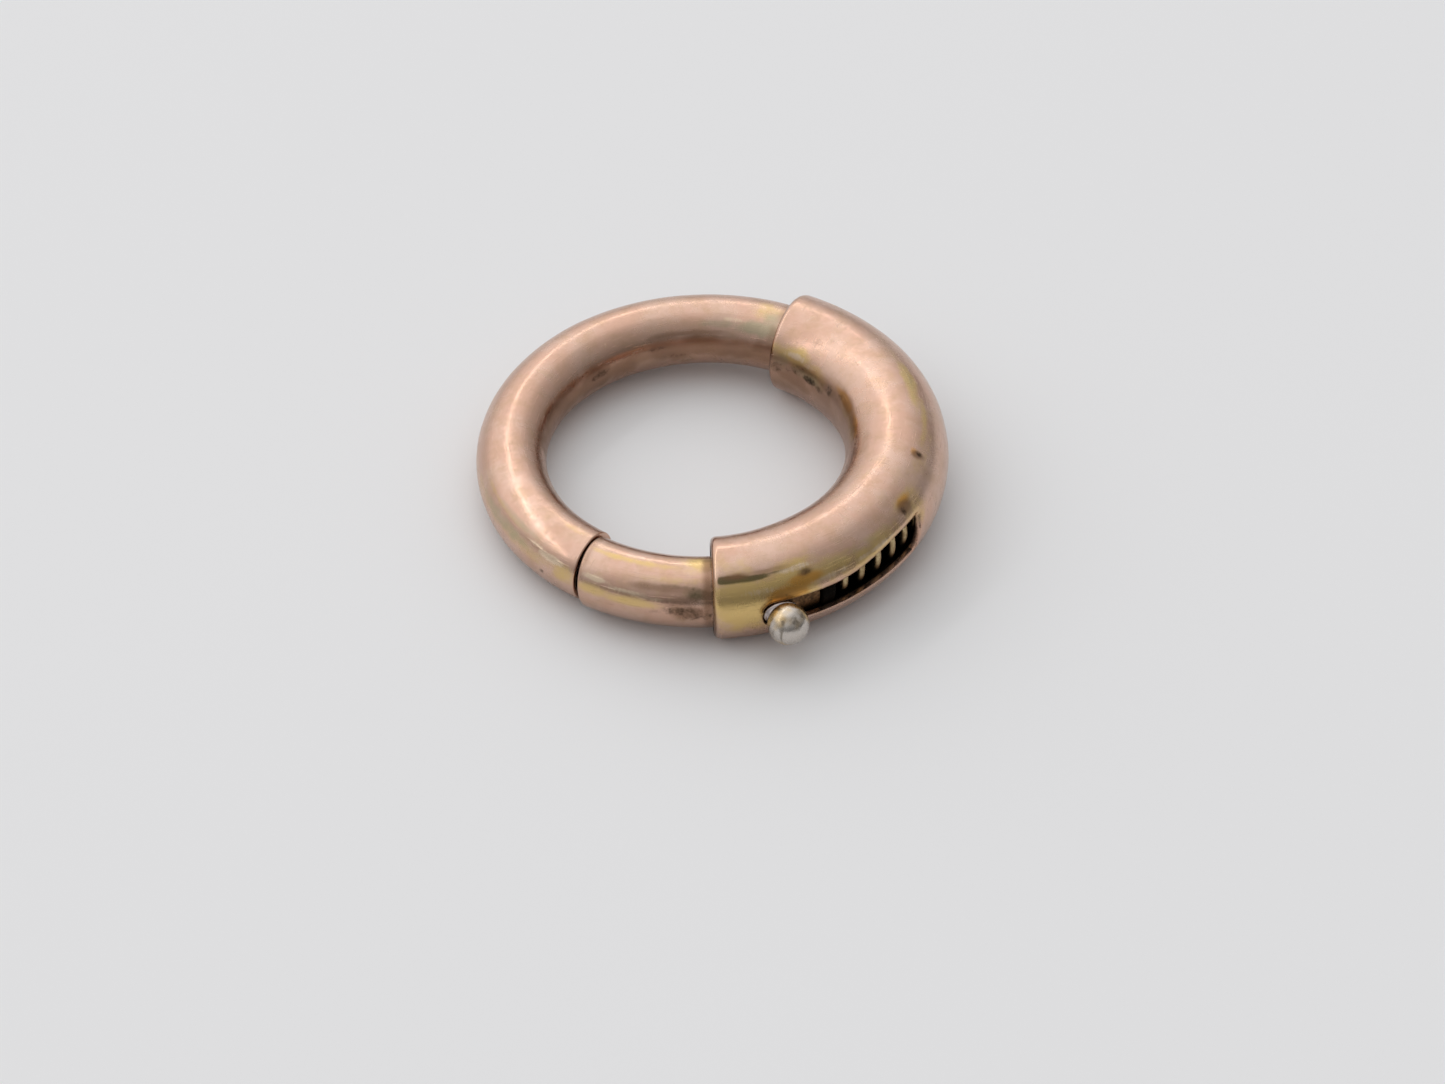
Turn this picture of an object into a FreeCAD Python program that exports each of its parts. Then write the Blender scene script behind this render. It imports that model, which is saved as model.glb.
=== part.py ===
"""A large bolt ring clasp: a fixed bow tube, a slotted barrel, and a sprung bolt that slides inside the barrel.

The ring lies in the XY plane, its axis is Z and its origin is the centre of the eye. Lengths are in
millimetres. Angles are in degrees about Z from +X, counted anticlockwise, and pass 360 inside the barrel.
Every driving size is a cell of the spreadsheet; the bodies are bound to those cells.
"""

import FreeCAD, Part  # noqa: E401

import math
import os

import Sketcher
from FreeCAD import Placement, Rotation, Vector

SIZES = {
    # bow: the plain fixed tube
    "bow_path": 9.0,
    "bow_outer": 1.635,
    "bow_inner": 1.335,
    "bow_root": 45.0,
    "bow_mouth": 234.6,
    "bow_edge": 0.1,
    # barrel: the wide slotted tube, on the same path as the bow
    "barrel_outer": 2.375,
    "barrel_bore": 2.075,
    "barrel_mouth": 271.4,
    "barrel_heel": 422.5,
    "barrel_rim": 0.24,
    "slot_width": 1.5,
    "slot_floor": 10.2,
    "slot_open": 11.8,
    "slot_front": 282.8,
    "slot_back": 330.0,
    "slot_front_corner": 0.55,
    "slot_back_corner": 0.15,
    # bushes that fill the barrel's two ends
    "bush_inset": 0.5,
    "bush_sweep": 9.0,
    "solder_film": 0.015,
    # bolt: its path runs a little outside the bow's
    "bolt_path": 9.25,
    "bolt_outer": 1.625,
    "bolt_inner": 1.325,
    "bolt_front": 235.7,
    "bolt_seam": 238.2,
    "bolt_end": 298.3,
    "bolt_running_gap": 0.05,
    "nose_edge": 0.32,
    "seam_film": 0.1,
    # plugs and the pegs that centre the spring
    "spigot_radius": 1.295,
    "spigot_sweep": 2.3,
    "bow_spigot_radius": 1.305,
    "head_sweep": 2.2,
    "tail_head_sweep": 4.0,
    "tail_head_radius": 2.02,
    "stop_head_radius": 2.0,
    "head_edge": 0.12,
    "peg_radius": 1.3,
    "peg_sweep": 4.0,
    "peg_edge": 0.2,
    # knob: a headed stem riveted through the bolt's wall, and a ball
    "knob_angle": 287.6,
    "stem_foot_start": 10.0,
    "stem_foot_end": 10.3,
    "stem_foot_radius": 0.75,
    "stem_radius": 0.52,
    "stem_end": 11.74,
    "stem_hole_radius": 0.535,
    "stem_hole_start": 10.1,
    "stem_hole_end": 11.3,
    "ball_path": 12.02,
    "ball_radius": 0.96,
    "socket_end": 11.76,
    "socket_start": 11.0,
    # spring
    "spring_path": 9.03,
    "spring_outer": 1.88,
    "wire_radius": 0.18,
    "spring_turns": 18.63,
    "spring_phase": 31.0,
    "dead_pitch": 2.4,
    "spring_seat": 0.1,
}

SHEET = "Sizes"
SAMPLES_PER_TURN = 12


def size(name):
    """The expression that reads one cell of the spreadsheet."""
    return f"{SHEET}.{name}"


def make_sheet(doc):
    """Writes every driving size to a cell with an alias."""
    sheet = doc.addObject("Spreadsheet::Sheet", SHEET)
    for row, (alias, value) in enumerate(SIZES.items(), start=1):
        sheet.set(f"A{row}", alias)
        sheet.set(f"B{row}", str(value))
        sheet.setAlias(f"B{row}", alias)
    doc.recompute()
    return sheet


def new_body(doc, name, turn):
    """An empty body turned about Z by the expression turn."""
    body = doc.addObject("PartDesign::Body", name)
    body.Label = name
    body.Placement = Placement(Vector(), Rotation(Vector(0, 0, 1), 1))
    body.setExpression("Placement.Rotation.Angle", turn)
    return body


def new_sketch(body, name, turn=None):
    """A sketch on the body's XZ plane, swung about Z by the expression turn."""
    sketch = body.newObject("Sketcher::SketchObject", f"{body.Name}_{name}")
    plane = next(f for f in body.Origin.OriginFeatures if f.Role == "XZ_Plane")
    sketch.AttachmentSupport = [(plane, "")]
    sketch.MapMode = "FlatFace"
    if turn:
        sketch.AttachmentOffset = Placement(Vector(), Rotation(Vector(0, 1, 0), 1))
        sketch.setExpression("AttachmentOffset.Rotation.Angle", turn)
    return sketch


def bind(sketch, constraint, name, expression):
    """Adds a dimension to a sketch and drives it by an expression."""
    index = sketch.addConstraint(constraint)
    sketch.renameConstraint(index, name)
    sketch.setExpression(f"Constraints.{name}", expression)


def add_circle(sketch, name, distance, radius):
    """A circle on the sketch's horizontal axis."""
    circle = sketch.addGeometry(Part.Circle(Vector(9, 0, 0), Vector(0, 0, 1), 1), False)
    sketch.addConstraint(Sketcher.Constraint("PointOnObject", circle, 3, -1))
    bind(sketch, Sketcher.Constraint("DistanceX", -1, 1, circle, 3, 9), f"{name}_distance", distance)
    bind(sketch, Sketcher.Constraint("Radius", circle, 1), f"{name}_radius", radius)


def add_profile(sketch, corners):
    """A closed polygon. Each corner is two expressions, and a height of 0 puts it on the horizontal axis."""
    count = len(corners)
    turns = [math.tau * i / count for i in range(count)]
    start = [Vector(9 + math.cos(turn), 1.5 + math.sin(turn), 0) for turn in turns]
    lines = [
        sketch.addGeometry(Part.LineSegment(start[i], start[(i + 1) % count]), False)
        for i in range(count)
    ]
    for i, line in enumerate(lines):
        sketch.addConstraint(Sketcher.Constraint("Coincident", line, 2, lines[(i + 1) % count], 1))
    for i, (across, up) in enumerate(corners):
        bind(sketch, Sketcher.Constraint("DistanceX", -1, 1, lines[i], 1, start[i].x), f"across_{i}", across)
        if up == "0":
            sketch.addConstraint(Sketcher.Constraint("PointOnObject", lines[i], 1, -1))
        else:
            bind(sketch, Sketcher.Constraint("DistanceY", -1, 1, lines[i], 1, start[i].y), f"height_{i}", up)


def revolve(body, kind, name, sketch, axis, angle):
    """A PartDesign revolution or groove of a sketch about one of its own axes."""
    feature = body.newObject(f"PartDesign::{kind}", f"{body.Name}_{name}")
    feature.Profile = sketch
    feature.ReferenceAxis = (sketch, [axis])
    feature.setExpression("Angle", angle)
    return feature


def sweep_round(body, name, path, radius, start, sweep, inner=None):
    """A length of curved rod, or of curved tube when inner is given, along the ring."""
    sketch = new_sketch(body, f"{name}_section", start)
    add_circle(sketch, "outer", path, radius)
    if inner:
        add_circle(sketch, "inner", path, inner)
    return revolve(body, "Revolution", name, sketch, "V_Axis", sweep)


def round_edges(body, name, wanted, radius):
    """A fillet on the edges of the body's tip for which wanted(edge) is true."""
    body.Document.recompute()
    tip = body.Tip
    names = [f"Edge{i + 1}" for i, edge in enumerate(tip.Shape.Edges) if wanted(edge)]
    if not names:
        raise RuntimeError(f"{body.Name}: no edge found for {name}")
    fillet = body.newObject("PartDesign::Fillet", f"{body.Name}_{name}")
    fillet.Base = (tip, names)
    fillet.setExpression("Radius", radius)
    return fillet


def angle_of(point):
    """The angle of a point about Z, in degrees from 0 up to 360."""
    return math.degrees(math.atan2(point.y, point.x)) % 360


def ring_edge(degrees, radius):
    """A test for the circular edge of a given radius at an angle of the body's own frame."""

    def wanted(edge):
        if not isinstance(edge.Curve, Part.Circle) or abs(edge.Curve.Radius - radius) > 1e-3:
            return False
        turn = (angle_of(edge.Curve.Center) - degrees + 180) % 360 - 180
        return abs(turn) < 0.01

    return wanted


def slot_corner(degrees, width):
    """A test for the two short corner edges at one end of the slot."""

    def wanted(edge):
        if len(edge.Vertexes) != 2:
            return False
        ends = [vertex.Point for vertex in edge.Vertexes]
        return all(
            abs(abs(p.z) - width / 2) < 1e-3 and abs(angle_of(p) - degrees) < 0.01 for p in ends
        ) and ends[0].z * ends[1].z > 0

    return wanted


def make_barrel(doc, sheet):
    """The wide tube with its slot, rounded at both rims."""
    body = new_body(doc, "barrel", size("barrel_mouth"))
    sweep = f"{size('barrel_heel')} - {size('barrel_mouth')}"
    sweep_round(body, "tube", size("bow_path"), size("barrel_outer"), None, sweep, size("barrel_bore"))

    slot = new_sketch(body, "slot_section", f"{size('slot_front')} - {size('barrel_mouth')}")
    left, right, bottom, top = 10, 12, -1, 1
    corners = [Vector(left, bottom), Vector(right, bottom), Vector(right, top), Vector(left, top)]
    lines = [slot.addGeometry(Part.LineSegment(corners[i], corners[(i + 1) % 4]), False) for i in range(4)]
    for i in range(4):
        slot.addConstraint(Sketcher.Constraint("Coincident", lines[i], 2, lines[(i + 1) % 4], 1))
    for line, direction in zip(lines, ("Horizontal", "Vertical", "Horizontal")):
        slot.addConstraint(Sketcher.Constraint(direction, line))
    slot.addConstraint(Sketcher.Constraint("Symmetric", lines[0], 1, lines[2], 2, -1))
    bind(slot, Sketcher.Constraint("DistanceX", -1, 1, lines[0], 1, left), "floor", size("slot_floor"))
    bind(slot, Sketcher.Constraint("DistanceX", -1, 1, lines[0], 2, right), "opening", size("slot_open"))
    bind(slot, Sketcher.Constraint("DistanceY", lines[1], 1, lines[1], 2, 2), "width", size("slot_width"))
    cut_sweep = f"{size('slot_back')} - {size('slot_front')}"
    revolve(body, "Groove", "slot", slot, "V_Axis", cut_sweep)

    front = sheet.slot_front - sheet.barrel_mouth
    back = sheet.slot_back - sheet.barrel_mouth
    heel = sheet.barrel_heel - sheet.barrel_mouth
    round_edges(body, "front_corners", slot_corner(front, sheet.slot_width), size("slot_front_corner"))
    round_edges(body, "back_corners", slot_corner(back, sheet.slot_width), size("slot_back_corner"))
    round_edges(body, "mouth_rim", ring_edge(0, sheet.barrel_outer), size("barrel_rim"))
    round_edges(body, "heel_rim", ring_edge(heel, sheet.barrel_outer), size("barrel_rim"))
    return body


def make_bush(doc, name, start, hole_path, hole_radius):
    """A ring that fills one end of the barrel, with a hole on its own path."""
    body = new_body(doc, name, start)
    sketch = new_sketch(body, "section")
    add_circle(sketch, "outer", size("bow_path"), f"{size('barrel_bore')} - {size('solder_film')}")
    add_circle(sketch, "hole", hole_path, hole_radius)
    revolve(body, "Revolution", "ring", sketch, "V_Axis", size("bush_sweep"))
    return body


def make_bow(doc, sheet):
    """The fixed tube, with its open mouth softened inside and out."""
    body = new_body(doc, "bow_tube", size("bow_root"))
    sweep = f"{size('bow_mouth')} - {size('bow_root')}"
    sweep_round(body, "tube", size("bow_path"), size("bow_outer"), None, sweep, size("bow_inner"))
    mouth = sheet.bow_mouth - sheet.bow_root
    round_edges(body, "mouth_outside", ring_edge(mouth, sheet.bow_outer), size("bow_edge"))
    round_edges(body, "mouth_inside", ring_edge(mouth, sheet.bow_inner), size("bow_edge"))
    return body


def make_bow_stop(doc, sheet):
    """The plug in the bow's hidden end: a peg for the spring, a head, and a spigot inside the tube."""
    head_start = f"{size('peg_sweep')}"
    spigot_start = f"{size('peg_sweep')} + {size('head_sweep')}"
    whole = f"{size('bow_root')} - {size('peg_sweep')} - {size('head_sweep')}"
    body = new_body(doc, "bow_stop", f"{whole} - {size('seam_film')}")
    sweep_round(body, "peg", size("spring_path"), size("peg_radius"), None, f"{head_start} + 0.2")
    sweep_round(body, "head", size("bow_path"), size("stop_head_radius"), head_start, size("head_sweep"))
    sweep_round(
        body,
        "spigot",
        size("bow_path"),
        size("bow_spigot_radius"),
        f"{spigot_start} - 0.2",
        f"{size('spigot_sweep')} + 0.2",
    )
    round_edges(body, "peg_end", ring_edge(0, sheet.peg_radius), size("peg_edge"))
    round_edges(body, "head_rim", ring_edge(sheet.peg_sweep, sheet.stop_head_radius), size("head_edge"))
    return body


def make_bolt_tube(doc):
    """The sliding tube, with the hole that takes the knob's stem."""
    start = f"{size('bolt_seam')} + {size('seam_film')}"
    body = new_body(doc, "bolt_tube", start)
    sweep = f"{size('bolt_end')} - {size('bolt_seam')} - 2 * {size('seam_film')}"
    sweep_round(body, "tube", size("bolt_path"), size("bolt_outer"), None, sweep, size("bolt_inner"))
    hole_turn = f"{size('knob_angle')} - {size('bolt_seam')} - {size('seam_film')}"
    hole = new_sketch(body, "stem_hole_section", hole_turn)
    add_profile(
        hole,
        [
            (size("stem_hole_start"), "0"),
            (size("stem_hole_end"), "0"),
            (size("stem_hole_end"), size("stem_hole_radius")),
            (size("stem_hole_start"), size("stem_hole_radius")),
        ],
    )
    revolve(body, "Groove", "stem_hole", hole, "H_Axis", "360")
    return body


def make_bolt_nose(doc, sheet):
    """The closed, rounded front of the bolt, with a spigot inside the tube."""
    body = new_body(doc, "bolt_nose", size("bolt_front"))
    length = f"{size('bolt_seam')} - {size('bolt_front')}"
    sweep_round(body, "cap", size("bolt_path"), size("bolt_outer"), None, length)
    sweep_round(
        body,
        "spigot",
        size("bolt_path"),
        size("spigot_radius"),
        f"{length} - 0.2",
        f"{size('spigot_sweep')} + 0.2",
    )
    round_edges(body, "front_edge", ring_edge(0, sheet.bolt_outer), size("nose_edge"))
    return body


def make_bolt_tail(doc, sheet):
    """The plug in the bolt's rear end: a spigot, a head that runs in the bore, and a peg for the spring."""
    body = new_body(doc, "bolt_tail", f"{size('bolt_end')} - {size('spigot_sweep')}")
    head_start = size("spigot_sweep")
    head_end = f"{size('spigot_sweep')} + {size('tail_head_sweep')}"
    sweep_round(body, "spigot", size("bolt_path"), size("spigot_radius"), None, f"{head_start} + 0.2")
    sweep_round(body, "head", size("bow_path"), size("tail_head_radius"), head_start, size("tail_head_sweep"))
    peg_sweep = f"{size('peg_sweep')} + 0.2"
    sweep_round(body, "peg", size("spring_path"), size("peg_radius"), f"{head_end} - 0.2", peg_sweep)
    front = sheet.spigot_sweep
    back = front + sheet.tail_head_sweep
    round_edges(body, "head_front", ring_edge(front, sheet.tail_head_radius), size("head_edge"))
    round_edges(body, "head_back", ring_edge(back, sheet.tail_head_radius), size("head_edge"))
    round_edges(body, "peg_end", ring_edge(back + sheet.peg_sweep, sheet.peg_radius), size("peg_edge"))
    return body


def make_stem(doc):
    """The headed pin, foot inside the bolt's wall and shank standing out through the slot."""
    body = new_body(doc, "knob_stem", size("knob_angle"))
    sketch = new_sketch(body, "section")
    add_profile(
        sketch,
        [
            (size("stem_foot_start"), "0"),
            (size("stem_end"), "0"),
            (size("stem_end"), size("stem_radius")),
            (size("stem_foot_end"), size("stem_radius")),
            (size("stem_foot_end"), size("stem_foot_radius")),
            (size("stem_foot_start"), size("stem_foot_radius")),
        ],
    )
    revolve(body, "Revolution", "pin", sketch, "H_Axis", "360")
    return body


def make_ball(doc):
    """The ball of the knob, with a blind socket that takes the end of the stem."""
    body = new_body(doc, "knob_ball", size("knob_angle"))
    sketch = new_sketch(body, "half_disc")
    arc = sketch.addGeometry(
        Part.ArcOfCircle(Part.Circle(Vector(12, 0, 0), Vector(0, 0, 1), 1), 0, math.pi), False
    )
    chord = sketch.addGeometry(Part.LineSegment(Vector(11, 0, 0), Vector(13, 0, 0)), False)
    sketch.addConstraint(Sketcher.Constraint("Coincident", arc, 2, chord, 1))
    sketch.addConstraint(Sketcher.Constraint("Coincident", arc, 1, chord, 2))
    sketch.addConstraint(Sketcher.Constraint("PointOnObject", arc, 3, -1))
    sketch.addConstraint(Sketcher.Constraint("PointOnObject", arc, 1, -1))
    sketch.addConstraint(Sketcher.Constraint("PointOnObject", arc, 2, -1))
    bind(sketch, Sketcher.Constraint("DistanceX", -1, 1, arc, 3, 12), "centre", size("ball_path"))
    bind(sketch, Sketcher.Constraint("Radius", arc, 1), "ball", size("ball_radius"))
    revolve(body, "Revolution", "ball", sketch, "H_Axis", "360")
    socket = new_sketch(body, "socket_section")
    hole_radius = size("stem_hole_radius")
    add_profile(
        socket,
        [
            (size("socket_start"), "0"),
            (size("socket_end"), "0"),
            (size("socket_end"), hole_radius),
            (size("socket_start"), hole_radius),
        ],
    )
    revolve(body, "Groove", "socket", socket, "H_Axis", "360")
    return body


def spring_angle(turn, turns, start, end, dead_pitch):
    """Where the coil is along the ring after so many turns. The first and last turns lie close together."""
    live_pitch = (end - start - 2 * dead_pitch) / (turns - 2)
    if turn <= 1:
        return start + dead_pitch * turn
    if turn >= turns - 1:
        return end - dead_pitch * (turns - turn)
    return start + dead_pitch + live_pitch * (turn - 1)


def spring_shape(sheet, start, end):
    """A closed solid: a round wire coiled about the ring's path."""
    coil_radius = sheet.spring_outer - sheet.wire_radius
    steps = int(sheet.spring_turns * SAMPLES_PER_TURN)

    def wire_centre(turn):
        around = math.tau * turn + math.radians(sheet.spring_phase)
        along = math.radians(spring_angle(turn, sheet.spring_turns, start, end, sheet.dead_pitch))
        reach = sheet.spring_path + coil_radius * math.cos(around)
        return Vector(reach * math.cos(along), reach * math.sin(along), coil_radius * math.sin(around))

    centre_line = Part.BSplineCurve()
    centre_line.interpolate([wire_centre(sheet.spring_turns * i / steps) for i in range(steps + 1)])
    tangent = (wire_centre(0.01) - wire_centre(0)).normalize()
    wire_end = Part.Wire(Part.makeCircle(sheet.wire_radius, wire_centre(0), tangent))
    pipe = Part.BRepOffsetAPI.MakePipeShell(Part.Wire(centre_line.toShape()))
    pipe.setFrenetMode(True)
    pipe.add(wire_end)
    pipe.build()
    pipe.makeSolid()
    return pipe.shape()


def make_spring(doc, sheet):
    """The spring, from the bolt's tail round to the bow's stop."""
    margin = sheet.spring_seat + math.degrees(sheet.wire_radius / sheet.spring_path)
    start = sheet.bolt_end + sheet.tail_head_sweep + margin
    end = 360 + sheet.bow_root - sheet.head_sweep - sheet.seam_film - margin
    feature = doc.addObject("Part::Feature", "spring")
    feature.Label = "spring"
    feature.Shape = spring_shape(sheet, start, end)
    feature.Placement = Placement(Vector(), Rotation(Vector(0, 0, 1), 0))
    return feature


def check(feature):
    """Stops the build on a broken object."""
    if any(word in feature.State for word in ("Invalid", "Error")):
        raise RuntimeError(f"{feature.Name}: {feature.State}")
    if feature.Shape.isNull() or not feature.Shape.isValid() or len(feature.Shape.Solids) != 1:
        raise RuntimeError(f"{feature.Name}: shape is empty, broken or not one solid")


os.makedirs("parts", exist_ok=True)
document = FreeCAD.newDocument("bolt_ring")
sizes = make_sheet(document)

mouth_bush_start = f"{size('barrel_mouth')} + {size('bush_inset')}"
heel_bush_start = f"{size('barrel_heel')} - {size('bush_inset')} - {size('bush_sweep')}"
running_hole = f"{size('bolt_outer')} + {size('bolt_running_gap')}"
soldered_hole = f"{size('bow_outer')} + {size('solder_film')}"

nodes = [
    make_barrel(document, sizes),
    make_bush(document, "mouth_bush", mouth_bush_start, size("bolt_path"), running_hole),
    make_bush(document, "heel_bush", heel_bush_start, size("bow_path"), soldered_hole),
    make_bow(document, sizes),
    make_bow_stop(document, sizes),
    make_spring(document, sizes),
    make_bolt_tube(document),
    make_bolt_nose(document, sizes),
    make_bolt_tail(document, sizes),
    make_stem(document),
    make_ball(document),
]
document.recompute()

for node in nodes:
    check(node)
for node in nodes:
    node.Shape.exportStep(f"parts/{node.Label}.step")
    print(node.Label, "volume", round(node.Shape.Volume, 3))
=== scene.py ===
"""A worn rose-gold bolt ring clasp lying on a pale floor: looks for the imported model, around the CAD frame.

Lengths in the mesh code are millimetres and are turned into metres when a mesh is made. Angles are degrees
about the ring's axis (phi, anticlockwise from +X seen from above) and round a tube's section (alpha, 0 at
the outer equator, 90 on top).
"""

import math

import bmesh
import bpy
from mathutils import Matrix, Vector, noise


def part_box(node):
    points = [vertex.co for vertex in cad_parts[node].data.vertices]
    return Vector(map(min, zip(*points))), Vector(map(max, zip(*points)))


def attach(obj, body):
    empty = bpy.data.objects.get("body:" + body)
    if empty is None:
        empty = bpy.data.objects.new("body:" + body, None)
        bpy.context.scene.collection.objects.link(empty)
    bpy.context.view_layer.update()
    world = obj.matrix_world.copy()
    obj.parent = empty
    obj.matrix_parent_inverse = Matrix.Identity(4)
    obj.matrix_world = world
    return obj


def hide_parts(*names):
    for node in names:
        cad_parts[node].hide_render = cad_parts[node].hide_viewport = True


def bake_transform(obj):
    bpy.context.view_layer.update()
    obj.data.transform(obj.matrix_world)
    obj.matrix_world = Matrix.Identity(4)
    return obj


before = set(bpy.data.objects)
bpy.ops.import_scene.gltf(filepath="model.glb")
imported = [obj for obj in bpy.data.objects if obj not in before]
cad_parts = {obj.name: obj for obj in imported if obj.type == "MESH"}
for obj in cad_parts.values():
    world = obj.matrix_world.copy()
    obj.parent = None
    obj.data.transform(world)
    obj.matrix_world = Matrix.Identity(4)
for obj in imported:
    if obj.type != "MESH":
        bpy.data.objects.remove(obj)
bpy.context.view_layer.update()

MM = 0.001

# ---------------------------------------------------------------- sizes read from the frame, in millimetres


def node_box(name):
    """Lowest and highest corner of a CAD node in millimetres."""
    low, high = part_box(name)
    return [c / MM for c in low], [c / MM for c in high]


def top_of(name):
    """Height of a CAD node above the ring's plane in millimetres."""
    return node_box(name)[1][2]


bow_low, bow_high = node_box("bow_tube")
ball_low, ball_high = node_box("knob_ball")

BOW_RADIUS = bow_high[2]
RING_PATH = -bow_low[0] - BOW_RADIUS
BARREL_RADIUS = top_of("barrel")
WALL = 0.3
BOLT_RADIUS = top_of("bolt_tube")
BOLT_PATH = RING_PATH + 0.25
BALL_RADIUS = (ball_high[2] - ball_low[2]) / 2
BALL_CENTRE = [(a + b) / 2 for a, b in zip(ball_low, ball_high)]
BALL_PATH = math.hypot(BALL_CENTRE[0], BALL_CENTRE[1])
KNOB_ANGLE = math.degrees(math.atan2(BALL_CENTRE[1], BALL_CENTRE[0])) % 360

# angles about the ring's axis at which the pieces start and end
BOW_ROOT = 45.0
BOW_MOUTH = 234.6
BARREL_MOUTH = 271.4
BARREL_HEEL = 422.5
BOLT_FRONT = 235.7
BOLT_END = 298.3
SLOT_FRONT = 282.8
SLOT_BACK = 329.8
SPRING_PATH = RING_PATH + 0.03
SPRING_START = 303.54
SPRING_END = 401.46
SPRING_OUTER = top_of("spring")
SPRING_WIRE = 0.18
SPRING_TURNS = 18.63
SPRING_PHASE = 31.0
SPRING_DEAD_PITCH = 2.4

# ---------------------------------------------------------------- small helpers


def smooth(low, high, value):
    """0 at low, 1 at high, smooth between. low may be the larger."""
    t = min(1.0, max(0.0, (value - low) / (high - low)))
    return t * t * (3 - 2 * t)


def hill(value, centre, half_width):
    """1 at centre, 0 from half_width away, smooth between."""
    return 1 - smooth(0, half_width, abs(value - centre))


def turn_between(angle, centre):
    """Signed difference of two angles in degrees, from -180 to 180."""
    return (angle - centre + 180) % 360 - 180


def ring_point(path, phi, alpha, radius):
    """A point of a tube's skin in millimetres."""
    p, a = math.radians(phi), math.radians(alpha)
    reach = path + radius * math.cos(a)
    return Vector((reach * math.cos(p), reach * math.sin(p), radius * math.sin(a)))


def wobble(point, scale, seed):
    """Smooth noise of about -1 to 1 at a point in millimetres; scale is in cycles per millimetre."""
    return noise.noise(point * scale + Vector((seed, -seed, 2 * seed)))


def waves(point, layers):
    """The sum of layers of smooth noise. Each layer is (height, scale, seed)."""
    return sum(height * wobble(point, scale, seed) for height, scale, seed in layers)


def smooth_mesh(name, points, faces):
    """A smooth-shaded mesh from points in millimetres, with every face turned outward."""
    mesh = bpy.data.meshes.new(name)
    mesh.from_pydata([tuple(p * MM) for p in points], [], faces)
    work = bmesh.new()
    work.from_mesh(mesh)
    bmesh.ops.recalc_face_normals(work, faces=work.faces)
    work.to_mesh(mesh)
    work.free()
    for polygon in mesh.polygons:
        polygon.use_smooth = True
    return mesh


def link_object(name, data):
    """Puts a mesh, lamp or camera into the scene as an object."""
    piece = bpy.data.objects.new(name, data)
    bpy.context.scene.collection.objects.link(piece)
    return piece


class Skin:
    """Vertices, faces and shader attributes of one piece that follows the ring."""

    def __init__(self, path, sides):
        self.path = path
        self.sides = sides
        self.points = []
        self.where = []
        self.faces = []

    def add(self, phi, alpha, radius, dent=0.0):
        """Adds one vertex and returns its index."""
        self.points.append(ring_point(self.path, phi, alpha, radius + dent))
        self.where.append((phi, alpha % 360, radius))
        return len(self.points) - 1

    def ring(self, phi, radius, dent=None, warp=None, lean=None):
        """Adds a ring of vertices round the tube and returns their indices. lean(alpha) shifts phi."""
        indices = []
        for j in range(self.sides):
            alpha = 360 * j / self.sides
            here = phi + (lean(alpha) if lean else 0.0)
            bare = ring_point(self.path, here, alpha, radius)
            shift = dent(bare, here, alpha) if dent else 0.0
            indices.append(self.add(here, warp(alpha) if warp else alpha, radius, shift))
        return indices

    def bridge(self, one, two, skip=None):
        """Faces between two rings. skip(j) leaves a face out."""
        for j in range(len(one)):
            k = (j + 1) % len(one)
            if skip is None or not skip(j):
                self.faces.append((one[j], one[k], two[k], two[j]))

    def cap(self, ring, phi):
        """Closes a ring with a fan to a point on the tube's axis."""
        apex = self.add(phi, 0, 0.0)
        for j in range(len(ring)):
            self.faces.append((ring[j], ring[(j + 1) % len(ring)], apex))

    def build(self, name, paint=None):
        """The finished object. paint(phi, alpha, point) gives the masks of a vertex as a dict."""
        mesh = smooth_mesh(name, self.points, self.faces)
        coords = []
        for phi, alpha, radius in self.where:
            around = math.radians(turn_between(alpha, 0))
            coords += [math.radians(phi) * self.path, around * radius, radius]
        mesh.attributes.new("tube_mm", "FLOAT_VECTOR", "POINT").data.foreach_set("vector", coords)
        if paint:
            rows = [paint(w[0], w[1], p) for w, p in zip(self.where, self.points)]
            for key in rows[0]:
                values = [row[key] for row in rows]
                mesh.attributes.new(key, "FLOAT", "POINT").data.foreach_set("value", values)
        return link_object(name, mesh)


def place(piece, body, slot, material, *nodes):
    """Gives a piece its material and its body, and hides the CAD nodes it stands for. slot is not used."""
    piece.data.materials.append(material)
    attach(piece, body)
    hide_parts(*nodes)


RIM_STEPS = 8


def rim_steps(radius):
    """Distances from a rounded rim at which rings lie, close together at the rim."""
    return [radius * (1 - math.cos(math.pi / 2 * i / RIM_STEPS)) for i in range(RIM_STEPS + 1)]


def rim_drop(distance, radius):
    """How far a rounded rim of that radius has fallen at that distance from the end."""
    if distance >= radius:
        return 0.0
    return radius - math.sqrt(max(0.0, radius * radius - (radius - distance) ** 2))


def ring_rows(start, end, path, rim_start, rim_end, spacing):
    """Rings of a tube as (angle in degrees, millimetres from the start, millimetres from the end)."""
    length = math.radians(end - start) * path
    head = rim_steps(rim_start)
    tail = [length - d for d in rim_steps(rim_end)][::-1]
    count = max(2, round((tail[0] - head[-1]) / spacing))
    middle = [head[-1] + (tail[0] - head[-1]) * i / count for i in range(1, count)]
    return [(start + math.degrees(d / path), d, length - d) for d in head + middle + tail]


# ---------------------------------------------------------------- barrel with its slot

BARREL_SIDES = 160
BARREL_RIM = 0.3
BARREL_SPACING = 0.1
BARREL_SWELL = 0.03
BARREL_TAPER = 0.07
TAPER_ARC = 34

# waviness of the hand-worked wall, as layers of noise
BARREL_WAVES = ((0.014, 0.35, 3.0), (0.005, 1.1, 8.0), (0.0015, 3.2, 5.0))

# (phi, alpha, half width in degrees of phi, depth) of the pits and of one shallow dent
BARREL_PITS = ((345.3, 58, 0.9, 0.05), (326.9, 40, 1.0, 0.06), (15.0, 60, 1.4, 0.02))
PIT_STRETCH = 4.5

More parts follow.
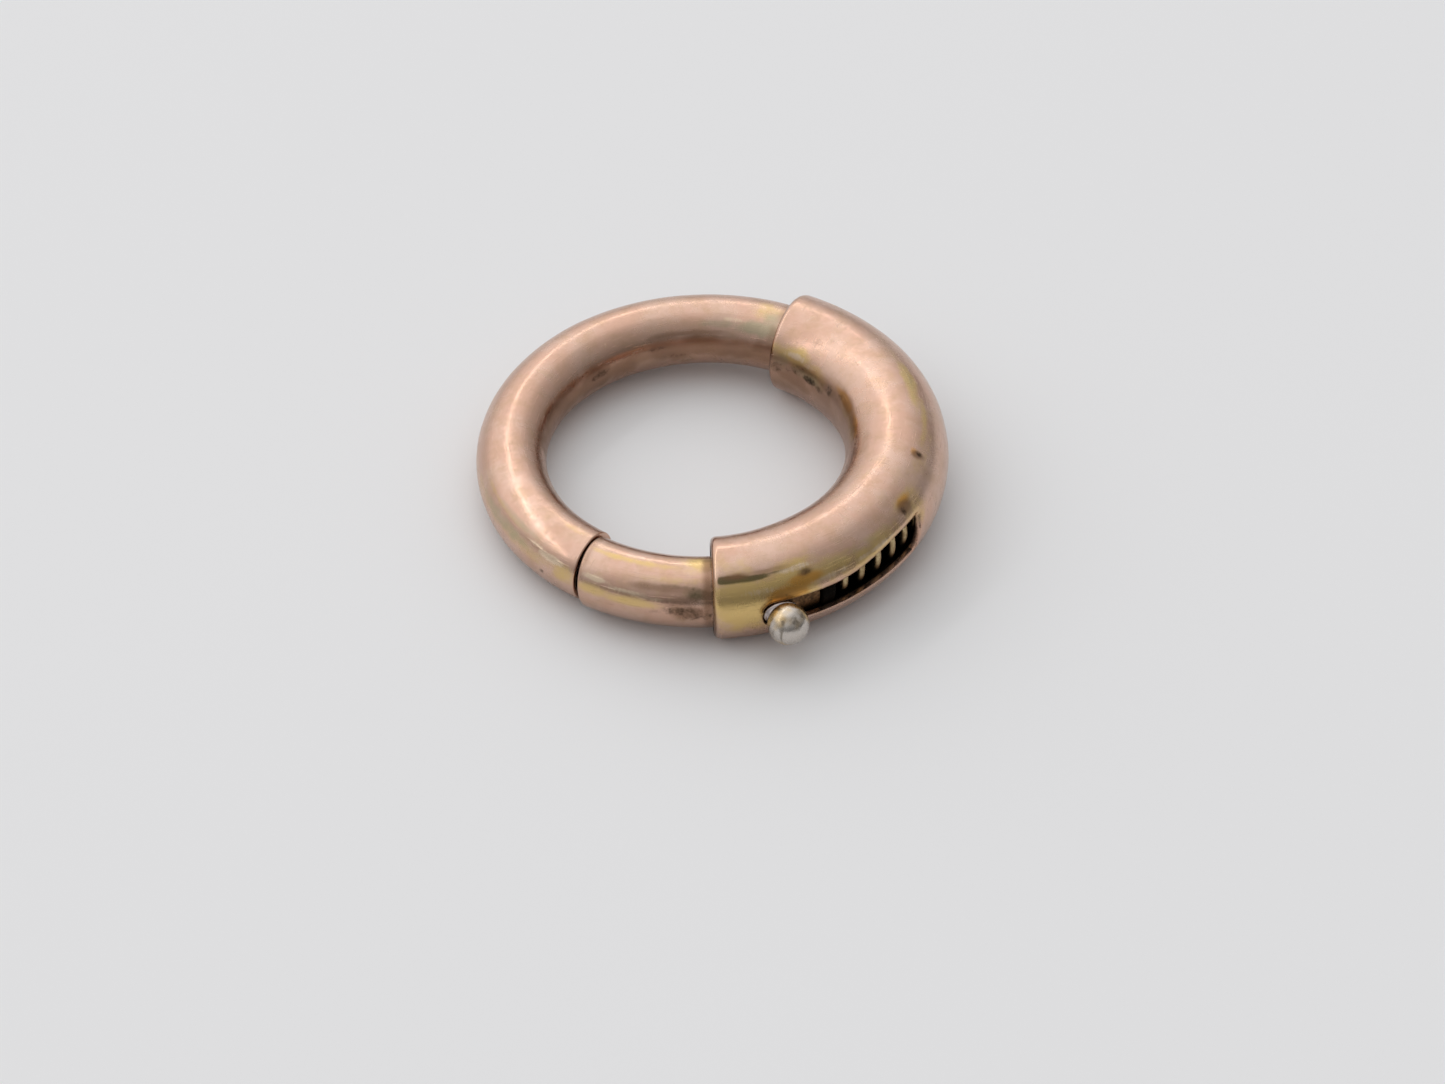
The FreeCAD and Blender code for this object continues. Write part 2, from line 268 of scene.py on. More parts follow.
# heights of the slot's edges above the ring's plane; the upper edge rises on the way to the far end
SLOT_FLOOR = -0.66
SLOT_ROOF_FRONT = 0.62
SLOT_ROOF_BACK = 0.98
ROOF_RISE_FROM = 3.5
ROOF_RISE_TO = 8.0
SLOT_CORNER = 0.60
FAR_CORNER_SHARP = 0.1
FAR_CORNER_ROUND = 0.16
FAR_END_SKEW = 0.31
LIP_BELOW = 0.06
LIP_EXTRA_ABOVE = 0.21
LIP_DEPTH = 0.15
LIP_STEPS = ((0.55, 0.12), (0.2, 0.42), (0.0, 1.0))  # shares of the lip's width and of its depth
CUT_TO_BORE = 0.03
RIM_SHARE = 0.95
SLOT_MARGIN = 3.0
SLOT_SIDE_LIMIT = 60
LEVEL_MATCH_FULL = 35
LEVEL_MATCH_END = 75
SNAP_STEP = 0.002
SNAP_ROUNDS = 6
SLOT_REACH = RING_PATH + BARREL_RADIUS
SLOT_LENGTH = math.radians(SLOT_BACK - SLOT_FRONT) * SLOT_REACH


def barrel_radius(phi):
    """The barrel is a little narrower at its ends than in the middle."""
    from_end = min(phi - BARREL_MOUTH, BARREL_HEEL - phi)
    return BARREL_RADIUS + BARREL_SWELL - BARREL_TAPER * (1 - smooth(0, TAPER_ARC, from_end))


def slot_distance(phi, height):
    """Signed distance in millimetres from the slot's outline, negative inside the slot."""
    along = math.radians(phi - SLOT_FRONT) * SLOT_REACH
    rise = smooth(ROOF_RISE_FROM, ROOF_RISE_TO, along)
    roof = SLOT_ROOF_FRONT + (SLOT_ROOF_BACK - SLOT_ROOF_FRONT) * rise
    middle, half = (roof + SLOT_FLOOR) / 2, (roof - SLOT_FLOOR) / 2
    across = along - SLOT_LENGTH / 2
    corner = SLOT_CORNER
    if across > 0:
        # the far end is filed out of square, with a sharp upper corner
        across -= FAR_END_SKEW * (height - middle)
        corner = FAR_CORNER_SHARP + FAR_CORNER_ROUND * smooth(0.2, -0.2, height)
    dx = abs(across) - SLOT_LENGTH / 2 + corner
    dy = abs(height - middle) - half + corner
    outside = math.hypot(max(dx, 0.0), max(dy, 0.0))
    return outside + min(max(dx, dy), 0.0) - corner


def slot_lip(height):
    """Width of the worn chamfer along the slot: wide on the upper edge, narrow below."""
    return LIP_BELOW + LIP_EXTRA_ABOVE * smooth(0.2, 0.55, height)


def snap_to_slot(phi, height, target):
    """The nearest place at a given distance from the slot's outline."""
    step = SNAP_STEP
    turn = math.degrees(step / SLOT_REACH)
    for _ in range(SNAP_ROUNDS):
        here = slot_distance(phi, height) - target
        slope_s = (slot_distance(phi + turn, height) - slot_distance(phi - turn, height)) / (2 * step)
        slope_z = (slot_distance(phi, height + step) - slot_distance(phi, height - step)) / (2 * step)
        size = max(1e-6, slope_s * slope_s + slope_z * slope_z)
        phi -= math.degrees(here * slope_s / size / SLOT_REACH)
        height -= here * slope_z / size
    return phi, height


def barrel_dent(point, phi, alpha):
    """Waviness of the hand-worked barrel, and its pits."""
    shift = waves(point, BARREL_WAVES)
    for pit_phi, pit_alpha, half, depth in BARREL_PITS:
        across = turn_between(phi, pit_phi) / half
        around = turn_between(alpha, pit_alpha) / (half * PIT_STRETCH)
        shift -= depth * (1 - smooth(0, 1, math.hypot(across, around)))
    return shift


def make_barrel(paint):
    """The slotted barrel: outer and inner walls on matching grids, joined at both rims and round the slot."""
    skin = Skin(RING_PATH, BARREL_SIDES)
    rows = ring_rows(BARREL_MOUTH, BARREL_HEEL, RING_PATH, BARREL_RIM, BARREL_RIM, BARREL_SPACING)
    bore = BARREL_RADIUS - WALL

    def bore_alpha(alpha):
        """Keeps the bore's grid at the same heights as the outside near the slot."""
        signed = turn_between(alpha, 0)
        if abs(signed) >= LEVEL_MATCH_END:
            return alpha
        outside_height = abs(math.sin(math.radians(signed))) * BARREL_RADIUS
        level = math.degrees(math.asin(min(0.98, outside_height / bore)))
        level = math.copysign(level, signed)
        share = 1 - smooth(LEVEL_MATCH_FULL, LEVEL_MATCH_END, abs(signed))
        return signed + (level - signed) * share

    outer, inner = [], []
    for phi, near, far in rows:
        drop = rim_drop(near, BARREL_RIM) + rim_drop(far, BARREL_RIM)
        outer.append(skin.ring(phi, barrel_radius(phi) - drop * RIM_SHARE, barrel_dent))
        inner.append(skin.ring(phi, bore, None, bore_alpha))

    def height(index):
        return skin.points[index].z

    def open_here(i, j):
        """True if the face from ring i and side j lies in the slot."""
        phi = (skin.where[outer[i][j]][0] + skin.where[outer[i + 1][j]][0]) / 2
        if phi < SLOT_FRONT - SLOT_MARGIN or phi > SLOT_BACK + SLOT_MARGIN:
            return False
        k = (j + 1) % BARREL_SIDES
        alpha = turn_between(skin.where[outer[i][j]][1], 0)
        if abs(alpha) > SLOT_SIDE_LIMIT:
            return False
        level = (height(outer[i][j]) + height(outer[i][k])) / 2
        return slot_distance(phi, level) < slot_lip(level)

    hole = {(i, j) for i in range(len(rows) - 1) for j in range(BARREL_SIDES) if open_here(i, j)}
    for i in range(len(rows) - 1):
        skin.bridge(outer[i], outer[i + 1], lambda j: (i, j) in hole)
        skin.bridge(inner[i], inner[i + 1], lambda j: (i, j) in hole)
    skin.bridge(outer[0], inner[0])
    skin.bridge(outer[-1], inner[-1])

    # edges between a kept face and the hole, as pairs of grid places
    border = []
    for i, j in sorted(hole):
        k = (j + 1) % BARREL_SIDES
        sides = (((i - 1, j), (i, j), (i, k)), ((i + 1, j), (i + 1, j), (i + 1, k)))
        sides += (((i, (j - 1) % BARREL_SIDES), (i, j), (i + 1, j)), ((i, k), (i, k), (i + 1, k)))
        border += [(a, b) for neighbour, a, b in sides if neighbour not in hole]

    def settle(index, phi, level, radius):
        """Moves or describes a vertex at a height on a wall of that radius."""
        alpha = math.degrees(math.asin(max(-1.0, min(1.0, level / radius))))
        skin.points[index] = ring_point(RING_PATH, phi, alpha, radius)
        skin.where[index] = (phi, alpha % 360, radius)

    lips = {}
    for spot in {s for pair in border for s in pair}:
        outside, inside = outer[spot[0]][spot[1]], inner[spot[0]][spot[1]]
        phi, level = skin.where[outside][0], skin.points[outside].z
        lip = slot_lip(level)
        chain = [outside]
        bare_alpha = math.degrees(math.asin(level / barrel_radius(phi)))
        bare = ring_point(RING_PATH, phi, bare_alpha, barrel_radius(phi))
        top = barrel_radius(phi) + barrel_dent(bare, phi, bare_alpha)
        edge_phi, edge_level = snap_to_slot(phi, level, lip)
        settle(outside, edge_phi, edge_level, top)
        chamfer = min(lip, LIP_DEPTH)
        steps = [(share, part * chamfer) for share, part in LIP_STEPS] + [(0.0, WALL - CUT_TO_BORE)]
        for share, depth in steps:
            step_phi, step_level = snap_to_slot(phi, level, lip * share)
            index = skin.add(step_phi, 0, top)
            settle(index, step_phi, step_level, top - depth)
            chain.append(index)
        end_phi, end_level = snap_to_slot(phi, level, 0.0)
        settle(inside, end_phi, end_level, bore)
        lips[spot] = chain + [inside]
    for a, b in border:
        one, two = lips[a], lips[b]
        for m in range(len(one) - 1):
            skin.faces.append((one[m], two[m], two[m + 1], one[m + 1]))
    return skin.build("barrel_skin", paint)


# ---------------------------------------------------------------- bow, bolt, spring, knob


BOW_WAVES = ((0.011, 0.4, 21.0), (0.004, 1.3, 13.0), (0.0012, 3.5, 9.0))
BOLT_WAVES = ((0.010, 0.45, 3.0), (0.004, 1.5, 8.0))


def bow_dent(point, phi, alpha):
    """Waviness of the bow."""
    return waves(point, BOW_WAVES)


def bolt_dent(point, phi, alpha):
    """Waviness of the bolt, less than the bow's, because it slides."""
    return waves(point, BOLT_WAVES)


TUBE_SIDES = 128
BOW_RIM = 0.08
BOW_SPACING = 0.13


def leaning_end(share, degrees_most, toward, shift=0.0):
    """A tube end cut out of square: phi grows by up to degrees_most where alpha is toward, plus shift all
    round. share fades the whole of it."""

    def lean(alpha):
        return share * (shift + degrees_most * math.cos(math.radians(alpha - toward)))

    return lean


MOUTH_LEAN = 0.35
MOUTH_LEAN_REACH = 2.5


def make_bow(paint):
    """The fixed tube, hollow from its open mouth to its hidden root."""
    skin = Skin(RING_PATH, TUBE_SIDES)
    rows = ring_rows(BOW_ROOT, BOW_MOUTH, RING_PATH, BOW_RIM, BOW_RIM, BOW_SPACING)
    outer, inner = [], []
    for phi, near, far in rows:
        drop = rim_drop(near, BOW_RIM) + rim_drop(far, BOW_RIM)
        lean = leaning_end(1 - smooth(0, MOUTH_LEAN_REACH, far), MOUTH_LEAN, 0)
        outer.append(skin.ring(phi, BOW_RADIUS - drop, bow_dent, None, lean))
        inner.append(skin.ring(phi, BOW_RADIUS - WALL + drop, None, None, lean))
    for i in range(len(rows) - 1):
        skin.bridge(outer[i], outer[i + 1])
        skin.bridge(inner[i], inner[i + 1])
    skin.bridge(outer[0], inner[0])
    skin.bridge(outer[-1], inner[-1])
    return skin.build("bow_skin", paint)


NOSE_EDGE = 0.13
NOSE_CROWN = 0.02
NOSE_LEAN = 1.35
NOSE_LEAN_TOWARD = -35
NOSE_SHIFT = 0.18
NOSE_LEAN_REACH = 3.0
BOLT_SKIN_END = BOLT_END - 0.1
BOLT_BORE_END = BOLT_END - 6.0
BOLT_REAR_EDGE = 0.03
BOLT_SPACING = 0.12
NOSE_RINGS = (0.15, 0.4, 0.65, 0.85, 0.96)


def make_bolt(paint):
    """The sliding bolt: nose and tube soldered and filed flush, so one skin."""
    skin = Skin(BOLT_PATH, TUBE_SIDES)
    rows = ring_rows(BOLT_FRONT, BOLT_SKIN_END, BOLT_PATH, NOSE_EDGE, BOLT_REAR_EDGE, BOLT_SPACING)
    rings = []
    for share in NOSE_RINGS:
        radius = (BOLT_RADIUS - NOSE_EDGE) * share
        phi = BOLT_FRONT - math.degrees(NOSE_CROWN * (1 - share * share) / BOLT_PATH)
        lean = leaning_end(radius / BOLT_RADIUS, NOSE_LEAN, NOSE_LEAN_TOWARD, NOSE_SHIFT)
        rings.append(skin.ring(phi, radius, None, None, lean))
    skin.cap(rings[0], BOLT_FRONT - math.degrees(NOSE_CROWN / BOLT_PATH))
    for phi, near, far in rows:
        drop = rim_drop(near, NOSE_EDGE) + rim_drop(far, BOLT_REAR_EDGE)
        share = (1 - smooth(0.2, NOSE_LEAN_REACH, near)) * (BOLT_RADIUS - drop) / BOLT_RADIUS
        lean = leaning_end(share, NOSE_LEAN, NOSE_LEAN_TOWARD, NOSE_SHIFT)
        rings.append(skin.ring(phi, BOLT_RADIUS - drop, bolt_dent, None, lean))
    rings.append(skin.ring(BOLT_SKIN_END, BOLT_RADIUS - WALL))
    rings.append(skin.ring(BOLT_BORE_END, BOLT_RADIUS - WALL))
    for i in range(len(rings) - 1):
        skin.bridge(rings[i], rings[i + 1])
    skin.cap(rings[-1], BOLT_BORE_END)
    return skin.build("bolt_skin", paint)


SPRING_STEPS_PER_TURN = 48
WIRE_SIDES = 14
SPRING_SLACK = 0.02
TANGENT_STEP = 0.01


def spring_angle(turn):
    """Where the coil is along the ring after so many turns; the first and last turns lie close together."""
    live_pitch = (SPRING_END - SPRING_START - 2 * SPRING_DEAD_PITCH) / (SPRING_TURNS - 2)
    if turn <= 1:
        return SPRING_START + SPRING_DEAD_PITCH * turn
    if turn >= SPRING_TURNS - 1:
        return SPRING_END - SPRING_DEAD_PITCH * (SPRING_TURNS - turn)
    return SPRING_START + SPRING_DEAD_PITCH + live_pitch * (turn - 1)


def make_spring():
    """The coiled wire as a closed mesh tube."""
    coil = SPRING_OUTER - SPRING_WIRE
    skin = Skin(SPRING_PATH, WIRE_SIDES)

    def centre(turn):
        """A point of the wire's middle line."""
        slack = SPRING_SLACK * noise.noise(Vector((turn * 0.37, 4.0, 1.0)))
        return ring_point(SPRING_PATH, spring_angle(turn), 360 * turn + SPRING_PHASE, coil + slack)

    rings = []
    steps = round(SPRING_TURNS * SPRING_STEPS_PER_TURN)
    for i in range(steps + 1):
        turn = SPRING_TURNS * i / steps
        phi = spring_angle(turn)
        middle = centre(turn)
        tangent = (centre(turn + TANGENT_STEP) - centre(turn - TANGENT_STEP)).normalized()
        outward = middle - ring_point(SPRING_PATH, phi, 0, 0)
        outward = (outward - tangent * outward.dot(tangent)).normalized()
        sideways = tangent.cross(outward)
        row = []
        for j in range(WIRE_SIDES):
            around = math.tau * j / WIRE_SIDES
            offset = outward * math.cos(around) + sideways * math.sin(around)
            index = skin.add(phi, 0, 0)
            skin.points[index] = middle + offset * SPRING_WIRE
            row.append(index)
        rings.append(row)
    for i in range(len(rings) - 1):
        skin.bridge(rings[i], rings[i + 1])
    for row, turn in ((rings[0], 0.0), (rings[-1], SPRING_TURNS)):
        apex = skin.add(0, 0, 0)
        skin.points[apex] = centre(turn)
        skin.faces += [(row[j], row[(j + 1) % WIRE_SIDES], apex) for j in range(WIRE_SIDES)]
    return skin.build("spring_coil")


def make_turned(name, profile, sides, dent):
    """A turned piece on the knob's axis. profile is pairs of distance from the ring's axis and radius."""
    turn = Matrix.Rotation(math.radians(KNOB_ANGLE), 3, "Z")
    points, faces, rings = [], [], []
    for reach, radius in profile:
        ring = []
        for j in range(sides):
            around = math.tau * j / sides
            bare = Vector((reach, radius * math.cos(around), radius * math.sin(around)))
            ring.append(len(points))
            points.append(turn @ dent(bare))
        rings.append(ring)
    for one, two in zip(rings, rings[1:]):
        for j in range(sides):
            k = (j + 1) % sides
            faces.append((one[j], one[k], two[k], two[j]))
    for ring, reach in ((rings[0], profile[0][0]), (rings[-1], profile[-1][0])):
        apex = len(points)
        points.append(turn @ Vector((reach, 0, 0)))
        faces += [(ring[j], ring[(j + 1) % sides], apex) for j in range(sides)]
    return link_object(name, smooth_mesh(name, points, faces))


BALL_ROWS = 64
BALL_SIDES = 96
BALL_FLATS = ((0.55, -0.35, 0.75), (0.8, 0.5, 0.2), (0.3, 0.55, 0.8))
FLAT_LIMIT = BALL_RADIUS * 0.965
FLAT_SHARE = 0.8
BALL_WAVES = ((0.016, 2.0, 31.0), (0.005, 4.0, 17.0))


def ball_dent(point):
    """Wear on the ball: a little out of round, with flats from years of thumbnails."""
    offset = point - Vector((BALL_PATH, 0, 0))
    direction = offset.normalized()
    shift = waves(direction, BALL_WAVES)
    for toward in BALL_FLATS:
        flat = Vector(toward).normalized()
        reach = offset.dot(flat)
        if reach > FLAT_LIMIT:
            offset -= flat * (reach - FLAT_LIMIT) * FLAT_SHARE
    return Vector((BALL_PATH, 0, 0)) + offset + direction * shift


def make_ball():
    """The ball, turned from pole to pole about the knob's axis and then worn."""
    profile = []
    for i in range(1, BALL_ROWS):
        around = math.pi * i / BALL_ROWS
        profile.append((BALL_PATH - BALL_RADIUS * math.cos(around), BALL_RADIUS * math.sin(around)))
    return make_turned("knob_ball_skin", profile, BALL_SIDES, ball_dent)


STEM_SIDES = 64
STEM_REACH = 2.02
SHANK_RADIUS = 0.52
FOOT_RADIUS = 0.74
FOOT_THICK = 0.30
FOOT_EDGE = 0.04
SHANK_STRETCH = 0.38
SHANK_FORWARD = 0.08


def make_stem():
    """The pin: its foot under the bolt's wall, a plain shank, and a small collar against the ball."""
    foot_start = BALL_PATH - STEM_REACH
    foot_end = foot_start + FOOT_THICK
    shank = SHANK_RADIUS
    profile = [
        (foot_start, FOOT_RADIUS - FOOT_EDGE),
        (foot_start + FOOT_EDGE, FOOT_RADIUS),
        (foot_end - FOOT_EDGE, FOOT_RADIUS),
        (foot_end, FOOT_RADIUS - FOOT_EDGE),
        (foot_end, shank + 0.03),
        (foot_end + FOOT_EDGE, shank),
        (BALL_PATH - 1.02, shank),
        (BALL_PATH - 0.98, shank + 0.05),
        (BALL_PATH - 0.94, shank + 0.08),
        (BALL_PATH - 0.80, shank + 0.08),
        (BALL_PATH - 0.76, shank + 0.04),
        (BALL_PATH - 0.70, shank),
        (BALL_PATH - 0.40, shank - 0.02),
    ]

    def oval(bare):
        """The shank is longer along the slot than across it, and stands a little forward of the ball."""
        share = smooth(foot_end, foot_end + 0.4, bare.x)
        along_slot = bare.y * (1 + SHANK_STRETCH * share) - SHANK_FORWARD * share
        return Vector((bare.x, along_slot, bare.z))

    return make_turned("knob_stem_skin", profile, STEM_SIDES, oval)


# ---------------------------------------------------------------- materials


class Nodes:
    """A short way to write a node tree."""

    def __init__(self, name):
        self.material = bpy.data.materials.new(name)
        self.material.use_nodes = True
        self.tree = self.material.node_tree
        self.tree.nodes.clear()
        self.output = self.tree.nodes.new("ShaderNodeOutputMaterial")
        self.shader = self.tree.nodes.new("ShaderNodeBsdfPrincipled")
        self.tree.links.new(self.shader.outputs["BSDF"], self.output.inputs["Surface"])

    def new(self, kind, **settings):
        """Adds a node with some of its settings."""
        node = self.tree.nodes.new(kind)
        for key, value in settings.items():
            setattr(node, key, value)
        return node

    def link(self, source, target):
        self.tree.links.new(source, target)

    def feed(self, socket, value):
        """Links an output to a socket, or sets the socket to a plain value."""
        if isinstance(value, bpy.types.NodeSocket):
            self.link(value, socket)
        else:
            socket.default_value = value

    def maths(self, operation, a, b=0.0, clamp=False):
        """One step of arithmetic on outputs or plain values. clamp keeps the result from 0 to 1."""
        node = self.new("ShaderNodeMath", operation=operation, use_clamp=clamp)
        self.feed(node.inputs[0], a)
        self.feed(node.inputs[1], b)
        return node.outputs[0]

    def ramp(self, value, low, high, out_low=0.0, out_high=1.0):
        """Maps a range of a value smoothly to another range."""
        node = self.new("ShaderNodeMapRange", interpolation_type="SMOOTHSTEP")
        self.feed(node.inputs["Value"], value)
        node.inputs["From Min"].default_value = low
        node.inputs["From Max"].default_value = high
        node.inputs["To Min"].default_value = out_low
        node.inputs["To Max"].default_value = out_high
        return node.outputs["Result"]

    def mix(self, share, one, two):
        """Colour one where share is 0, colour two where it is 1."""
        node = self.new("ShaderNodeMix", data_type="RGBA", blend_type="MIX")
        self.feed(node.inputs[0], share)
        self.feed(node.inputs[6], one)
        self.feed(node.inputs[7], two)
        return node.outputs[2]

    def noise(self, vector, scale, detail, rough, stretch=(1, 1, 1), shift=(0, 0, 0)):
        """Noise with scale, times stretch, in cycles per millimetre. shift picks another part of it."""
        mapping = self.new("ShaderNodeMapping")
        self.link(vector, mapping.inputs["Vector"])
        mapping.inputs["Scale"].default_value = stretch
        mapping.inputs["Location"].default_value = shift
        node = self.new("ShaderNodeTexNoise")
        self.link(mapping.outputs[0], node.inputs["Vector"])
        node.inputs["Scale"].default_value = scale
        node.inputs["Detail"].default_value = detail
        node.inputs["Roughness"].default_value = rough
        return node.outputs[0]

    def mask(self, name):
        """A painted mask of the mesh, such as gold or grime."""
        node = self.new("ShaderNodeAttribute", attribute_type="GEOMETRY", attribute_name=name)
        return node.outputs["Fac"]

    def place_in_mm(self):
        """The object's own coordinates in millimetres."""
        source = self.new("ShaderNodeTexCoord")
        mapping = self.new("ShaderNodeMapping")
        self.link(source.outputs["Object"], mapping.inputs["Vector"])
        mapping.inputs["Scale"].default_value = (1 / MM, 1 / MM, 1 / MM)
        return mapping.outputs[0]

    def tube_mm(self):
        """Millimetres along the tube, round it, and the wall's radius."""
        node = self.new("ShaderNodeAttribute", attribute_type="GEOMETRY", attribute_name="tube_mm")
        return node.outputs["Vector"]

    def bumps(self, *layers):
        """Stacks bump layers of (height, depth in millimetres) and returns the last normal."""
        normal = None
        for height, depth in layers:
            node = self.new("ShaderNodeBump")
            node.inputs["Strength"].default_value = 1.0
            node.inputs["Distance"].default_value = depth * MM
            self.link(height, node.inputs["Height"])
            if normal is not None:
                self.link(normal, node.inputs["Normal"])
            normal = node.outputs[0]
        return normal


# base colours of the gold, of what lies on it, and of the shade, reflections and highlights painted on it
PINK = (0.605, 0.380, 0.286, 1)
PALE_PINK = (0.690, 0.500, 0.412, 1)
TAN = (0.480, 0.315, 0.185, 1)
GOLD = (0.680, 0.480, 0.190, 1)
DARK_BROWN_AND_SHADE = (0.215, 0.112, 0.062, 1)
GRIME_AND_SHADE_BLACK = (0.035, 0.024, 0.015, 1)
TARNISH = (0.410, 0.360, 0.245, 1)
AMBER_AND_SHADE_TINT = (0.640, 0.320, 0.070, 1)
OLIVE_AND_REFLECTION_DARK = (0.105, 0.088, 0.038, 1)
WORN_AND_HIGHLIGHT_PALE = (0.800, 0.620, 0.450, 1)


def worn_gold(name, gold_bias, streak_seed):
    """Rose gold with yellow streaks, patina and fine scratches, and painted shade, reflections and
    highlights, for a piece with tube attributes.
    """
    n = Nodes(name)
    spot = n.place_in_mm()
    tube = n.tube_mm()
    streak = n.noise(tube, 1.0, 4.0, 0.6, (0.16, 1.5, 0), (streak_seed, streak_seed, 0))
    cloud = n.noise(spot, 0.45, 4.0, 0.6, shift=(streak_seed, 5, 2))
    fine = n.noise(spot, 2.6, 5.0, 0.65, shift=(7, streak_seed, 1))
    grain = n.noise(spot, 14.0, 3.0, 0.6)
    scratch_a = n.noise(tube, 1.0, 2.0, 0.5, (0.7, 16.0, 0), (streak_seed, 3, 0))
    scratch_b = n.noise(tube, 1.0, 2.0, 0.5, (13.0, 0.9, 0), (2, streak_seed, 0))

    def ragged(level, pattern, strength):
        """A mask level with its edge broken up by a noise pattern."""
        return n.maths("ADD", level, n.maths("MULTIPLY", n.maths("ADD", pattern, -0.5), strength))

    pale = n.ramp(cloud, 0.38, 0.66, 0.0, 0.55)
    colour = n.mix(pale, PINK, PALE_PINK)
    mottle = n.noise(spot, 1.1, 6.0, 0.7, shift=(streak_seed, 11, 4))
    colour = n.mix(n.ramp(mottle, 0.40, 0.72, 0.0, 0.45), colour, TAN)
    gold_noise = n.maths("MULTIPLY_ADD", streak, 0.9)
    gold_noise.node.inputs[2].default_value = gold_bias - 0.48
    gold = n.maths("ADD", ragged(n.mask("gold"), fine, 0.8), gold_noise)
    gold_share = n.ramp(gold, 0.0, 1.15, 0.0, 0.95)
    colour = n.mix(gold_share, colour, GOLD)
    # this mask is amber stain on the barrel and a painted shade tint on the bolt's end inside the barrel
    amber = ragged(n.mask("amber"), fine, 0.7)
    colour = n.mix(n.ramp(amber, 0.1, 1.05, 0.0, 0.9), colour, AMBER_AND_SHADE_TINT)
    tarnish = ragged(n.mask("tarnish"), fine, 1.1)
    colour = n.mix(n.ramp(tarnish, 0.05, 1.15, 0.0, 0.8), colour, TARNISH)
    # this mask is olive stain and also a painted dark reflection line on the barrel near its mouth
    olive = ragged(n.mask("olive"), fine, 0.9)
    colour = n.mix(n.ramp(olive, 0.2, 1.1, 0.0, 0.9), colour, OLIVE_AND_REFLECTION_DARK)
    # this mask is pale wear and also painted highlights on the bow and the bolt
    worn = ragged(ragged(n.mask("worn"), fine, 1.0), scratch_b, 0.8)
    colour = n.mix(n.ramp(worn, 0.15, 1.0, 0.0, 0.95), colour, WORN_AND_HIGHLIGHT_PALE)
    # this mask is brown discolouring and also painted shade: on lower and inner sides, on the slot's cut
    # face, on the bolt's nose face and on its end inside the barrel
    brown = ragged(n.mask("brown"), cloud, 0.7)
    colour = n.mix(n.ramp(brown, 0.1, 1.05, 0.0, 0.78), colour, DARK_BROWN_AND_SHADE)
    speck = n.noise(spot, 6.5, 4.0, 0.6, shift=(2, 8, streak_seed))
    # this mask is dirt and also painted black shade: in the bores, on the slot's far wall, on the bolt's end
    # inside the barrel and where the bolt goes into the barrel
    dirt_and_shade = ragged(ragged(n.mask("grime"), fine, 0.8), speck, 1.1)
    dirt_and_shade_share = n.ramp(dirt_and_shade, 0.2, 1.2, 0.0, 0.95)
    colour = n.mix(dirt_and_shade_share, colour, GRIME_AND_SHADE_BLACK)
    n.link(colour, n.shader.inputs["Base Color"])

    base_rough = n.ramp(cloud, 0.3, 0.7, 0.20, 0.30)
    rough = ragged(base_rough, fine, 0.16)
    rough = n.maths("ADD", rough, n.maths("MULTIPLY", gold_share, 0.05))
    rough = n.maths("ADD", rough, n.maths("MULTIPLY", n.mask("polish"), -0.13))
    rough = n.maths("ADD", rough, n.maths("MULTIPLY", n.ramp(brown, 0.1, 1.0), 0.10))
    rough = n.maths("ADD", rough, n.maths("MULTIPLY", dirt_and_shade_share, 0.35), clamp=True)
    n.link(rough, n.shader.inputs["Roughness"])
    n.shader.inputs["Metallic"].default_value = 1.0
    lines_a = n.ramp(scratch_a, 0.60, 0.74)
    lines_b = n.ramp(scratch_b, 0.62, 0.76)
    normal = n.bumps((fine, 0.006), (grain, 0.0012), (lines_a, 0.0045), (lines_b, 0.0045))
    n.link(normal, n.shader.inputs["Normal"])
    return n.material


WIRE_BRIGHT = (0.56, 0.44, 0.25, 1)
WIRE_DULL = (0.36, 0.25, 0.13, 1)
BALL_PALE = (0.56, 0.51, 0.465, 1)
BALL_GOLD = (0.60, 0.43, 0.22, 1)
BALL_DARK = (0.17, 0.14, 0.105, 1)
STEM_PALE = (0.56, 0.50, 0.49, 1)
STEM_DARK = (0.26, 0.20, 0.19, 1)
# painted shade: near-black for the bolt's tail, which lies in the shadow under the slot
TAIL_SHADE_BLACK = (0.007, 0.005, 0.003, 1)
TAIL_SHADE_DEEPER = (0.004, 0.003, 0.002, 1)
BUSH = (0.330, 0.205, 0.150, 1)
BUSH_DARK = (0.120, 0.070, 0.045, 1)


def plain_metal(name, colour, dark, rough_low, rough_high, dirt_and_shade, depth=0.006):
    """A metal with a cloudy darker colour, for pieces without tube attributes: wear and soiling on the bushes
    and stem, painted shade on the bolt's tail. depth is that of its bumps.
    """
    n = Nodes(name)
    spot = n.place_in_mm()
    cloud = n.noise(spot, 0.9, 4.0, 0.6)
    fine = n.noise(spot, 4.0, 5.0, 0.65, shift=(3, 1, 6))
    grain = n.noise(spot, 16.0, 3.0, 0.6)
    share = n.ramp(cloud, 0.35, 0.7, 0.0, dirt_and_shade)
    n.link(n.mix(share, colour, dark), n.shader.inputs["Base Color"])
    n.link(n.ramp(fine, 0.3, 0.7, rough_low, rough_high), n.shader.inputs["Roughness"])
    n.shader.inputs["Metallic"].default_value = 1.0
    n.link(n.bumps((fine, depth), (grain, depth * 0.3)), n.shader.inputs["Normal"])
    return n.material


